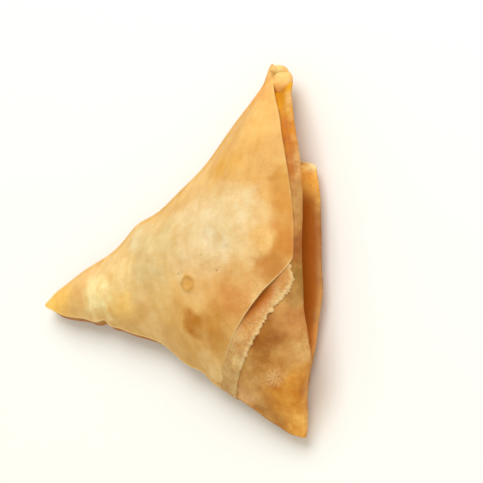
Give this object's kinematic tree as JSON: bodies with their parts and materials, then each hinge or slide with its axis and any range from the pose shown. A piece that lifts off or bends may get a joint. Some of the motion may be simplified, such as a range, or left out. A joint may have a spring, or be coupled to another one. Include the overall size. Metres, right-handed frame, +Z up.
{
  "type": "samosa",
  "caption": "Flat triangular samosa of folded fried pastry, plump with filling, one side open between two lips, lying with its flap side up.",
  "frame": {"origin": "middle of the plan bounding box, at the height of the flat underside the samosa rests on", "axes": "+Z up out of the flap side, +Y along the open side towards the rolled tip, +X out of the open side"},
  "size_m": [0.085, 0.0974, 0.0201],
  "materials": {
    "fried_pastry": "satin"
  },
  "bodies": {
    "root": {"samosa": "fried_pastry"}
  },
  "joints": []
}
